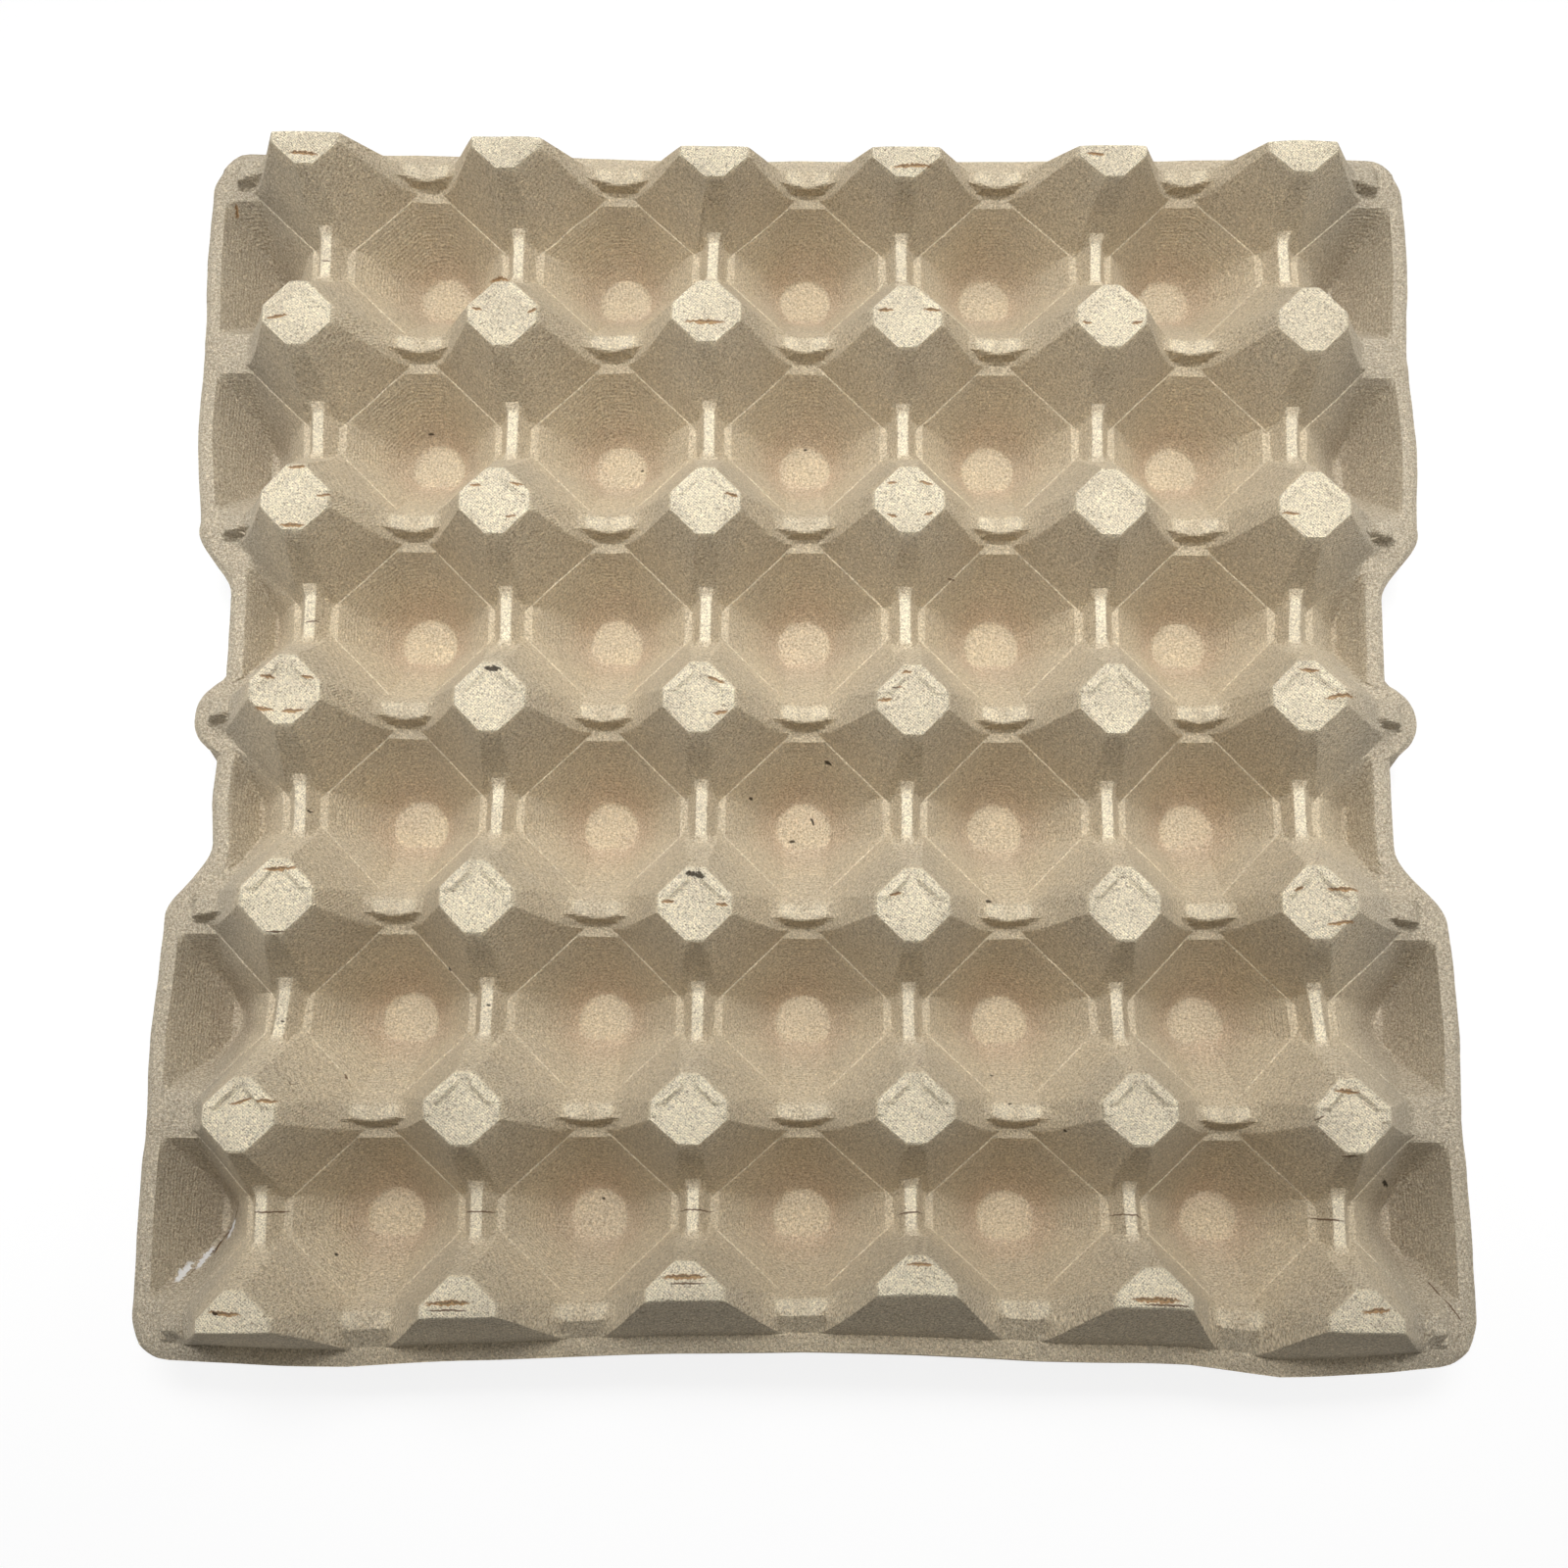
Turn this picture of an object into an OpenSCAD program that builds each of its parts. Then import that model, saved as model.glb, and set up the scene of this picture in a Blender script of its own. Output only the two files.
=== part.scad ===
// Pulp egg tray, moulded in one piece: a grid of egg cups between hollow
// posts, ribs that join the posts, half cups along both sides and a flat rim.

/* [Grid] */
// Cups from left to right
columns = 5; // [2:1:6]
// Cups from front to back
rows = 6; // [2:1:8]
// Distance from one cup's centre to the next
pitch = 47.5; // [44:0.5:54]

/* [Heights] */
// Height of the post tops over the table
post_z = 45; // [38:0.5:56]
// Height of the rim, and of the ledges round the cups
ledge_z = 21.5; // [18:0.5:26]
// How far the ribs stand above the ledges
rib_h = 6; // [2:0.5:9]
// Thickness of the moulded wall
wall = 1.8; // [1:0.1:2.6]

/* [Posts] */
// Post top, from tip to tip
post_top = 16; // [12:0.5:20]
// Width of the blunt tips of the post top
post_tip = 4; // [2:0.5:6]
// Post at the height of the ledges, from tip to tip
post_foot = 38; // [32:0.5:41]

/* [Cups and ribs] */
// Round flat in the floor of a cup, across
floor_d = 13.4; // [8:0.2:20]
// Width of the band between two cups at the height of the ledges
band_w = 10.7; // [8:0.1:14]
// Width of a rib along its top
rib_top = 3; // [1.5:0.1:4]
// Width of a rib at its foot
rib_foot = 6.7; // [5:0.1:8]

/* [Sides] */
// From the outer row of posts to the tray's side edge
side_w = 32; // [29:0.5:40]
// Width of the flat rim outside a side pocket
rim_w = 4; // [2.5:0.5:7]
// Lean of a side pocket's outer wall, as run for each unit of rise
pocket_lean = 0.3; // [0.1:0.05:0.5]
// Depth of the finger notch in each side
notch_depth = 11; // [4:0.5:14]
// Length of the finger notch
notch_l = 86; // [60:1:90]
// Width of the round tab in the middle of a notch
tab_d = 19; // [14:0.5:24]
// How far the tab stands out of the notch
tab_out = 7; // [3:0.5:9]
// From the foot of a side rib to the tray's side edge
rib_inset = 7; // [5.5:0.5:10]

/* [Ends] */
// From the end row of posts to the front or back edge
end_w = 6.5; // [5:0.5:12]
// From the end row of posts to the cut face of its half posts, at their top
face_out = 0.5; // [0:0.1:2]
// How much further out the cut face lies at the height of the rim
face_lean = 2.5; // [0.5:0.1:4]

/* [Corners] */
// Radius of the tray's corners and of the ends of its notches
corner_r = 9; // [4:0.5:12]
// Radius in the inner corners of the outline
fillet_r = 5; // [2:0.5:6]

/* [Hidden] */

cup_sides = 24;   // straight sides that stand for a cup's round floor
arc_sides = 32;   // straight sides of a full circle in the outline
spare = 2;        // how far a cutting shape reaches past what it cuts

// Heights on a fine binary step, so that faces which share a height meet exactly
function level(z) = round(z * 16) / 16;
top = level(post_z);
ledge = level(ledge_z);
skin = level(wall);

rise = top - ledge;
facet_run = (post_foot - post_top) / 2 / rise;
face_top = (post_top + post_tip) / sqrt(8);
face_foot = (post_foot + band_w) / sqrt(8);
face_run = (face_foot - face_top) / rise;
end_run = face_lean / rise;
rib_run = (rib_foot - rib_top) / 2 / rib_h;
cup_run = (pitch / sqrt(2) - face_foot - floor_d / 2) / (ledge - skin);

outer_x = columns * pitch / 2;   // centre line of the outer posts
outer_y = rows * pitch / 2;      // centre line of the end posts
side_x = outer_x + side_w;
end_y = outer_y + end_w;

// Sideways shift of a face, run to rise, that moves in by `off` square to itself
function shift(off, run) = off * sqrt(1 + run * run);

// Post at height z, with its faces moved in by `off`: axis to tip, axis to face
function tip_reach(z, off) = post_top / 2 + (top - z) * facet_run - shift(off, facet_run);
function face_reach(z, off) = face_top + (top - z) * face_run - shift(off, face_run);

// Middle of cup column i and row j, and of post column i and row j
function cup_x(i) = (i - (columns - 1) / 2) * pitch;
function cup_y(j) = (j - (rows - 1) / 2) * pitch;
function post_x(i) = (i - columns / 2) * pitch;
function post_y(j) = (j - rows / 2) * pitch;

// Side edge of the tray beside cup row j, further in along the notch
function edge_x(j) = side_x - (abs(cup_y(j)) < notch_l / 2 ? notch_depth : 0);

// Corners at height z of an octagon whose sides lie at `flat` on the axes
// and at `slant` on the diagonals
function octagon(flat, slant, z) = let (h = slant * sqrt(2) - flat)
    [for (s = [[1, 1], [-1, 1], [-1, -1], [1, -1]]) each
        [[s.x * flat, s.y * h, z], [s.x * h, s.y * flat, z]]];

function ring(r, z) = [for (k = [0 : cup_sides - 1])
    [r * cos((k + 0.5) * 360 / cup_sides), r * sin((k + 0.5) * 360 / cup_sides), z]];

// Smallest convex solid round a list of points
module wrap(points) {
    hull() polyhedron(points, [for (k = [0 : len(points) - 3]) [k, k + 1, k + 2]]);
}

// Air in one cup up to the post tops: round floor, octagon at the ledges, and
// above it the sloping faces of the four posts
module cup_air(off) {
    grow = shift(off, cup_run) - off * cup_run;
    flat_mid = (pitch - band_w) / 2 + grow;
    slant_mid = pitch / sqrt(2) - face_reach(ledge - off, off);
    slant_top = pitch / sqrt(2) - face_reach(top + spare, off);
    wrap(concat(
        ring(floor_d / 2 + grow, skin - off),
        octagon(flat_mid, slant_mid, ledge - off),
        octagon(pitch / 2, slant_top, top + spare)));
}

// Air over the saddle between two posts that stand along X
module saddle_air(off) {
    low = pitch / 2 - tip_reach(ledge - off, off);
    high = pitch / 2 - tip_reach(top + spare, off);
    rotate([90, 0, 0])
        linear_extrude(band_w + 4 * spare, center = true)
            polygon([[-low, ledge - off], [low, ledge - off],
                     [high, top + spare], [-high, top + spare]]);
}

// Air in the half cup beside row j on the right: the cup's own shape, closed
// on its outside by a flat wall under the rim
module pocket_air(j, off) {
    wall_x = edge_x(j) - rim_w + shift(off, pocket_lean);
    foot_x = wall_x - (ledge + spare) * pocket_lean;
    intersection() {
        translate([outer_x + pitch / 2, cup_y(j), 0]) cup_air(off);
        translate([0, cup_y(j), 0])
            rotate([90, 0, 0])
                linear_extrude(pitch, center = true)
                    polygon([[0, -spare], [foot_x, -spare],
                             [wall_x - off * pocket_lean, ledge - off], [2 * side_x, ledge - off],
                             [2 * side_x, 2 * top], [0, 2 * top]]);
    }
}

// Air above the rim outside the outer posts, on the right
module side_air(off) {
    rotate([90, 0, 0])
        linear_extrude(3 * end_y, center = true)
            polygon([[outer_x + tip_reach(ledge - off, off), ledge - off],
                     [2 * side_x, ledge - off],
                     [2 * side_x, top + spare],
                     [outer_x + tip_reach(top + spare, off), top + spare]]);
}

// Air above the rim behind the cut faces of the last half posts
module end_air(off) {
    face_y = outer_y + face_out - shift(off, end_run);
    rotate([90, 0, 90])
        linear_extrude(3 * side_x, center = true)
            polygon([[face_y + (rise + off) * end_run, ledge - off],
                     [2 * end_y, ledge - off],
                     [2 * end_y, top + spare],
                     [face_y - spare * end_run, top + spare]]);
}

// Side of a rib that reaches `half` each way at its foot, with the foot carried
// down into what the rib stands on
module rib_side(half) {
    sunk = 2 * skin;
    over = half - rib_h * rib_run;
    under = half + sunk * rib_run;
    polygon([[-over, ledge + rib_h], [over, ledge + rib_h],
             [under, ledge - sunk], [-under, ledge - sunk]]);
}

// Rib along X with sloping ends, `reach` to each side at its foot
module rib(reach, off) {
    intersection() {
        rotate([90, 0, 90])
            linear_extrude(2 * reach + 2 * spare, center = true)
                offset(delta = -off) rib_side(rib_foot / 2);
        rotate([90, 0, 0])
            linear_extrude(2 * rib_foot, center = true)
                offset(delta = -off) rib_side(reach);
    }
}

// How far the rib along post row j reaches: on to the side rim, on to the tab,
// or only to the outer posts in the rows next to the ends
function rib_reach(j) =
    j == 1 || j == rows - 1 ? outer_x
    : abs(post_y(j)) < tab_d / 2 ? side_x - notch_depth + tab_out - rim_w
    : side_x - rib_inset;

// Everything below the tray's upper face, or below its lower face with `off`
// equal to the wall
module form(off) {
    difference() {
        translate([-2 * side_x, -2 * end_y, -spare - off])
            cube([4 * side_x, 4 * end_y, top + spare]);
        for (i = [0 : columns - 1], j = [0 : rows - 1])
            translate([cup_x(i), cup_y(j), 0]) cup_air(off);
        for (i = [0 : columns - 1], j = [0 : rows])
            translate([cup_x(i), post_y(j), 0]) saddle_air(off);
        for (i = [0 : columns], j = [0 : rows - 1])
            translate([post_x(i), cup_y(j), 0]) rotate(90) saddle_air(off);
        for (turn = [0, 180]) rotate(turn) {
            for (j = [0 : rows - 1]) pocket_air(j, off);
            side_air(off);
            end_air(off);
        }
    }
    for (j = [0 : rows])
        translate([0, post_y(j), 0]) rib(rib_reach(j), off);
    for (i = [0 : columns])
        translate([post_x(i), 0, 0]) rotate(90) rib(outer_y - post_tip, off);
}

// Outline of the tray from above, with a notch and a tab in each side
module outline() {
    offset(r = -fillet_r, $fn = arc_sides) offset(delta = fillet_r)
        offset(r = corner_r, $fn = arc_sides) offset(delta = -corner_r)
            difference() {
                square([2 * side_x, 2 * end_y], center = true);
                for (s = [-1, 1])
                    translate([s * side_x, 0]) square([2 * notch_depth, notch_l], center = true);
            }
    for (s = [-1, 1])
        translate([s * (side_x - notch_depth + tab_out - tab_d / 2), 0])
            circle(d = tab_d, $fn = arc_sides);
}

module tray() {
    color("tan")
        difference() {
            intersection() {
                translate([0, 0, -spare]) linear_extrude(top + 2 * spare) outline();
                form(0);
            }
            form(skin);
        }
}

tray();
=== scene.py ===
# %% [markdown]
# # A pulp egg tray
# The tray is one sheet of grey-brown pulp, pressed over a wire mould: cups for the eggs, hollow posts
# between them, ribs from post to post, half cups along both sides and a flat rim.
# Nothing on it overhangs, so its whole upper face is one height over the plan, z = f(x, y).
# This script writes that height as a formula, samples it on a grid, and bends the result as the tray in
# the photo is bent.

import bpy
import numpy as np
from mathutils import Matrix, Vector


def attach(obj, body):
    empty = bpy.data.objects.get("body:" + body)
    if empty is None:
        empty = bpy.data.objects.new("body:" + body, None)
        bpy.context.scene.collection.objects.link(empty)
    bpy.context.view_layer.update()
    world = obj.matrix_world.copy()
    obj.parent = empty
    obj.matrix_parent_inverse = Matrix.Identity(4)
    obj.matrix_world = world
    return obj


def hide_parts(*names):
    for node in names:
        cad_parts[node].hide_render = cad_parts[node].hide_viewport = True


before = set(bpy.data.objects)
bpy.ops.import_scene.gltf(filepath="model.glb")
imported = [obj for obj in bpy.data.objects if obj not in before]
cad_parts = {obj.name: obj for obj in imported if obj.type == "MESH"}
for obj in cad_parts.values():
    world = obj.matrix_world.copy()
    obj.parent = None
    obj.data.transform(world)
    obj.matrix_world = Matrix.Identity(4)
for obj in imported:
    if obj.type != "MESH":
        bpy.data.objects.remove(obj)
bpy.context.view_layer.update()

# %% [markdown]
# ## Sizes
# All sizes here are in millimetres, as they are in the CAD source. Posts and cups stand on the same square
# grid, half a step apart, so one cell with a cup in its middle and a quarter of a post in each corner
# repeats over the whole tray.

# %% Sizes
PITCH, COLUMNS, ROWS = 47.5, 5, 6
TOP, LEDGE, WALL = 45.0, 21.5, 1.8
RISE = TOP - LEDGE
OUTER_X, OUTER_Y = COLUMNS * PITCH / 2, ROWS * PITCH / 2
SIDE_X, END_Y = OUTER_X + 32.0, OUTER_Y + 6.5
print(f"tray {2 * SIDE_X} by {2 * END_Y} by {TOP} mm")

# %% [markdown]
# ## Soft edges
# No edge of pressed pulp is quite sharp. Where two slopes meet, a plain maximum or minimum of their heights
# would be, so each meeting uses a soft form: it follows the higher (or lower) slope away from the edge, and
# rounds the edge over a width set by `k`.

# %% Soft maximum and minimum
def soft_max(a, b, k):
    """The larger of two heights, with the crossing rounded: half of (a + b + root((a - b)^2 + k^2))."""
    return 0.5 * (a + b + np.sqrt((a - b) ** 2 + k * k))


def soft_min(a, b, k):
    """The smaller of two heights, with the crossing rounded in the same way."""
    return -soft_max(-a, -b, k)


def smooth(low, high, value):
    """Rises from 0 at `low` to 1 at `high` along 3t^2 - 2t^3; `low` may be the larger."""
    t = np.clip((value - low) / (high - low), 0, 1)
    return t * t * (3 - 2 * t)


def slope(level, run, steepness, off):
    """A plane that rises `steepness` for each unit of `run` from `level`, moved down by `off` square to
    itself."""
    return level + run * steepness - off * np.hypot(1, steepness)


print("a soft maximum of two equal heights lies", soft_max(0.0, 0.0, 1.0), "mm over them for k = 1")

# %% [markdown]
# ## A cup
# Each cup runs from a round flat in its floor to an octagon at the ledges. The skin between a circle and an
# octagon is the highest of all the planes that touch both: one plane for each direction, tangent to the
# circle and to the octagon's corner or side. Four dozen directions are enough to look round.

# %% The height of a cup
FLOOR_R, FLAT, DIRECTIONS = 6.7, 18.4, 48
POST_FOOT, BAND_WIDTH = 38.0, 10.7
SLANT = PITCH / np.sqrt(2) - (POST_FOOT + BAND_WIDTH) / np.sqrt(8)
BEND = SLANT * np.sqrt(2) - FLAT
CORNERS = np.array([[a * FLAT, b * BEND] for a in (-1, 1) for b in (-1, 1)]
                   + [[a * BEND, b * FLAT] for a in (-1, 1) for b in (-1, 1)])


def cup(u, v, off):
    """Height of a cup's skin at (u, v) from its middle: the highest of its tangent planes and its floor."""
    skin = np.full(u.shape, -1e3)
    for turn in np.radians(np.arange(0, 360, 360 / DIRECTIONS)):
        way = np.array([np.cos(turn), np.sin(turn)])
        steep = (LEDGE - WALL) / (np.max(CORNERS @ way) - FLOOR_R)
        skin = np.maximum(skin, slope(WALL, u * way[0] + v * way[1] - FLOOR_R, steep, off))
    return soft_max(skin, WALL - off, 0.9)


print(f"a cup is {2 * FLAT:.1f} mm across its flats and {2 * SLANT:.1f} mm across its diagonals")

# %% [markdown]
# ## Posts and ribs
# A post is a hollow pyramid with eight faces: four narrow ones towards its neighbours, four wide ones
# towards the cups. Its height is the lowest of those slopes and its top. Most tops are pressed in a little,
# inside a raised border along their two back edges.
# A rib is the lowest of a flat top and the slopes of its sides and ends, laid along a line of posts.

# %% The heights of posts and ribs
TIP_TOP, FACE_TOP = 8.0, 10 / np.sqrt(2)
TIP_FOOT, FACE_FOOT = 19.6, 16.9
TIP_STEEP, FACE_STEEP = RISE / (TIP_FOOT - TIP_TOP), RISE / (FACE_FOOT - FACE_TOP)
BORDER_IN, BORDER_FOOT, DENT_TIP, DENT_END = 2.0, 2.7, 7.5, 9.0
RIB, RIB_HALF, RIB_RUN = 6.0, 3.35, 1.85


def post(p, q, deep, off):
    """Height of a post at (p, q) from its middle: the lowest of its tips, its wide faces and its top, which
    is `deep` lower inside its border."""
    reach = np.maximum(np.abs(p), np.abs(q))
    tips = slope(LEDGE, TIP_FOOT - reach, TIP_STEEP, off)
    faces = slope(LEDGE, FACE_FOOT - (np.abs(p) + np.abs(q)) / np.sqrt(2), FACE_STEEP, off)
    from_back = FACE_TOP - (np.abs(p) + q) / np.sqrt(2)
    dent = deep * smooth(BORDER_IN, BORDER_FOOT, from_back) * smooth(DENT_END, DENT_TIP, reach)
    return soft_min(soft_min(tips, faces, 0.25), TOP - dent - off, 0.55)


def rib(sides, along, reach, rise, off, k):
    """Height of a rib: the lowest of its top, `rise` over the ledges, its two sides and its sloping ends."""
    ends = slope(LEDGE, reach - np.abs(along), RIB / RIB_RUN, off)
    return soft_min(soft_min(sides, ends, 0.6), LEDGE + rise - off, k)


print(f"post faces rise {TIP_STEEP:.2f} and {FACE_STEEP:.2f} to 1, ribs {RIB / RIB_RUN:.2f} to 1")

# %% [markdown]
# ## The outline
# Seen from above, each side has a finger notch with a round tab in its middle. The side edge is written
# as a distance from the middle line for each y, so that the grid can be stretched to end exactly on it.

# %% The side edge
NOTCH, NOTCH_INNER, NOTCH_OUTER = 11.0, 31.0, 49.0
TAB_R, TAB_BACK, CORNER = 9.5, 2.5, 9.0


def side_edge(y):
    """Distance from the middle line to the side edge at y: straight, with a notch, a tab and round
    corners."""
    a = np.abs(y)
    edge = SIDE_X - NOTCH * (1 - smooth(NOTCH_INNER, NOTCH_OUTER, a))
    tab = SIDE_X - NOTCH - TAB_BACK + np.sqrt(np.maximum(TAB_R ** 2 - a * a, 0))
    past = np.clip(a - (END_Y - CORNER), 0, CORNER)
    return soft_max(edge, tab, 1.2) - CORNER + np.sqrt(np.maximum(CORNER ** 2 - past ** 2, 0))


print("side edge at y = 0, 30 and 100:", side_edge(np.array([0.0, 30.0, 100.0])).round(2))

# %% [markdown]
# ## Pockets and cross ribs
# Along both sides the cups are only half there: a leaning wall under the rim closes them to pockets.
# They begin at HOLD_X, and from there on the grid, too, is stretched towards the side edge.
# The ribs across the tray are lower than those along it. Towards the front they end in a steep face that
# bows back at both ends, and towards the back they run out gently into the next cup. Where a post comes down
# on such a rib, pulp gathers in a round fillet.

# %% The heights of pockets and cross ribs
RIM, POCKET_LEAN, HOLD_X = 4.0, 0.42, OUTER_X + 6
CROSS_RIB, FRONT_RUN, BACK_RUN = 4.0, 0.9, 2.7
FRONT_FOOT, BACK_FOOT, BOW, BOW_LENGTH = 2.6, 5.3, 0.9, 6.2
TAB_RIB_OUT, SIDE_RIB_IN, END_RIB_IN = 3.0, 7.0, 4.0
FILLET_HALF, FILLET_FADE, FILLET_FROM, FILLET_TO, FILLET_ROUND = 3.0, 1.5, 14.0, 18.0, 5.0


def hollows(x, row, u, v, off):
    """Height of the cups, and past the outer posts of the pockets, under the level of the ledges."""
    hollow = cup(u, v, off)
    wall_x = SIDE_X - RIM - NOTCH * (np.abs(row + 0.5) < 1)
    pocket = soft_max(hollow, slope(LEDGE, np.abs(x) - wall_x, 1 / POCKET_LEAN, off), 2.5)
    return soft_min(np.where(np.abs(x) > HOLD_X, pocket, hollow), LEDGE - off, 0.12)


def foot_fillet(p, q):
    """Extra height where a post's tip comes down on a cross rib: a soft maximum less a plain one, fading
    away from the rib."""
    tip = slope(LEDGE, TIP_FOOT - np.abs(p), TIP_STEEP, 0)
    beside = np.maximum(np.abs(q) - FILLET_HALF, 0) / FILLET_FADE
    near = np.exp(-beside ** 2) * smooth(FILLET_FROM, FILLET_TO, np.abs(p))
    return near * (soft_max(LEDGE, tip, FILLET_ROUND) - np.maximum(LEDGE, tip))


def cross_rib(x, p, q, line, off):
    """Height of the rib along post row `line`: on to the side rim, on to the tab in the middle row, or only
    to the outer posts in the rows next to the ends."""
    reach = np.select([np.abs(line) == 2, line == 0],
                      [OUTER_X, SIDE_X - NOTCH + TAB_RIB_OUT], SIDE_X - SIDE_RIB_IN)
    bow = BOW * np.clip((PITCH / 2 - np.abs(p)) / BOW_LENGTH, 0, 1) ** 2
    front = slope(LEDGE, q + FRONT_FOOT - bow, CROSS_RIB / FRONT_RUN, off)
    back = slope(LEDGE, BACK_FOOT - q, CROSS_RIB / BACK_RUN, off)
    return rib(soft_min(front, back, 0.6), x, reach, CROSS_RIB, off, 0.9)


print(f"cross ribs {CROSS_RIB} mm over the ledges, the others {RIB} mm")

# %% [markdown]
# ## The whole upper face
# The pieces join in the order in which they stand on one another: cups below the ledges, then posts, then
# ribs. The half posts at both ends are posts cut by a steep face, and the tops further to the front are
# pressed in deeper. With `off` equal to the wall, the same formula gives the under face.

# %% The height of the tray
END_FACE, END_LEAN = 3.0, 2.5
DENT_BACK, DENT_FRONT, DENT_FROM, DENT_TO = 0.45, 1.0, 80, -100
FILLET_LOW, FILLET_HIGH = 0.7, 0.8


def tray_height(x, y, off):
    """Height of the tray's upper face at (x, y), or of its under face with `off` equal to the wall."""
    row = np.clip(np.floor(y / PITCH), -ROWS // 2, ROWS // 2 - 1)
    line = np.clip(np.round(y / PITCH), -ROWS // 2, ROWS // 2)
    column = np.clip(np.floor(x / PITCH), -(COLUMNS + 1) // 2, COLUMNS // 2)
    u, v = x - PITCH * np.round(x / PITCH), y - PITCH * (row + 0.5)
    p, q = x - PITCH * (column + 0.5), y - PITCH * line
    deep = DENT_BACK + (DENT_FRONT - DENT_BACK) * smooth(DENT_FROM, DENT_TO, PITCH * line)
    deep = deep * (np.abs(line) < ROWS / 2)
    end_face = slope(LEDGE, OUTER_Y + END_FACE - np.abs(y), RISE / END_LEAN, off)
    stand = soft_min(post(p, q, deep, off), end_face, 0.9)
    height = soft_max(hollows(x, row, u, v, off), stand, 0.12)
    fillet = foot_fillet(p, q)
    across = cross_rib(x, p, q, line, off)
    height = soft_max(height + FILLET_LOW * fillet, across + FILLET_HIGH * fillet, 1.1)
    sides = slope(LEDGE, RIB_HALF - np.abs(p), RIB / RIB_RUN, off)
    return soft_max(height, rib(sides, y, OUTER_Y - END_RIB_IN, RIB, off, 0.7), 2.2)


probe = np.array([[0.0, PITCH / 2], [PITCH / 2, 0.0], [PITCH / 2, PITCH / 2], [0.0, 0.0]])
print("floor, post, rib and cross rib heights:", tray_height(probe[:, 0], probe[:, 1], 0.0).round(2))

# %% [markdown]
# ## A grid that follows the edges
# A plain square grid cuts across the slanting edges of posts and cups and leaves them ragged. Here a quarter
# of a cell, from a post's middle (0, 0) to a cup's middle, is numbered like a square grid, but its lines are
# bent: the first BAND lines fan out along the tips and ribs, the crossing diagonals run along the top and
# foot of the wide faces, and the last steps close in on the cup's round floor.

# %% One quarter of a cell
BAND_AT = np.array([0, 0.8, 1.25, 1.65, 2.4, 3.1, 3.6, 4.9, 5.35])
TIP_AT = np.array([2, 4.1, 5.2, 8, 8.6, 11, 13.6, 16.2, 18.66, 19, 20.6, 22.2, 23.75])
RING_AT = np.array([0, 2.0, 4.4, 6.2, 6.7, 7.3, 8.8, 10.4, 12.2, 14.0, 15.8, 17.6, 18.4]) / FLAT
BAND, STEPS, LEDGE_STEP = len(BAND_AT) - 1, len(TIP_AT) - 1, 9
FLAT_STEPS = STEPS - LEDGE_STEP
TIP_LINE, BAND_HALF, TIP_HALF, TIP_LENGTH = 3.6, BAND_WIDTH / 2, 2.2, 11.0
TIP_EDGE_TOP, TIP_EDGE_FOOT, TIP_END = 2.0, 4.3, 18.8


def tip_width(p):
    """Half the width of a post's tip, or past its foot of the band between two cups, at p from its
    middle."""
    return TIP_HALF + (BAND_HALF - TIP_HALF) * np.clip((p - TIP_TOP) / TIP_LENGTH, 0, 1)


def band_line(p, step):
    """Distance from the axis of one of the first grid lines at p: over a post, those up to TIP_LINE keep to
    its tip."""
    at = BAND_AT[np.clip(step, 0, BAND)]
    wide, down = tip_width(p), np.clip((p - TIP_TOP) / (TIP_FOOT - TIP_TOP), 0, 1)
    tip = TIP_EDGE_TOP + (TIP_EDGE_FOOT - TIP_EDGE_TOP) * down
    beside = tip + (at - TIP_LINE) / (BAND_HALF - TIP_LINE) * (wide - tip)
    over = np.where(at <= TIP_LINE, at / TIP_LINE * tip, beside)
    return np.where(p < TIP_END, over, at / BAND_HALF * wide)


def octagon_side(step):
    """Distance from the middle along one axis for a step counted round the octagon at the ledges."""
    along = np.clip((step - FLAT_STEPS) / LEDGE_STEP, 0, 1)
    return np.where(step < FLAT_STEPS, step * BEND / FLAT_STEPS, BEND + along * (FLAT - BEND))


def cup_point(i, j):
    """Distances (u, v) from the cup's middle for the grid steps (i, j) counted from there: each ring of
    steps runs from a circle in the floor to the octagon at the ledges."""
    level = np.maximum(np.maximum(i, j), (i + j) * STEPS / (STEPS + FLAT_STEPS))
    scale = STEPS / np.maximum(level, 1e-9)
    rim_u, rim_v = octagon_side(i * scale), octagon_side(j * scale)
    reach = np.interp(level, np.arange(STEPS + 1), RING_AT)
    disc = FLOOR_R / FLAT
    far = np.maximum(np.hypot(rim_u, rim_v), 1e-9)
    share = np.clip((reach - disc) / (1 - disc), 0, 1)
    radius = np.where(reach < disc, reach * FLAT, FLOOR_R + share * (far - FLOOR_R))
    return rim_u * radius / far, rim_v * radius / far


def quarter_cell():
    """Distances (p, q) from a post's middle for each pair of grid steps over a quarter of a cell."""
    a, b = np.meshgrid(np.arange(BAND + STEPS + 1), np.arange(BAND + STEPS + 1))
    i, j = a - BAND, b - BAND
    far_i, far_j = TIP_AT[np.clip(i, 0, STEPS)], TIP_AT[np.clip(j, 0, STEPS)]
    diagonal = np.clip(i + j, 1, LEDGE_STEP)
    f = np.clip(j / diagonal, 0, 1)
    tip, side = TIP_AT[diagonal], tip_width(TIP_AT[diagonal])
    u, v = cup_point(STEPS - np.clip(i, 0, STEPS), STEPS - np.clip(j, 0, STEPS))
    kinds = [(i <= 0) & (j <= 0), j <= 0, i <= 0, i + j <= LEDGE_STEP]
    p = np.select(kinds, [band_line(TIP_AT[0], a), far_i, band_line(far_j, a), (1 - f) * tip + f * side],
                  PITCH / 2 - u)
    q = np.select(kinds, [band_line(TIP_AT[0], b), band_line(far_i, b), far_j, (1 - f) * side + f * tip],
                  PITCH / 2 - v)
    return p, q


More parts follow.
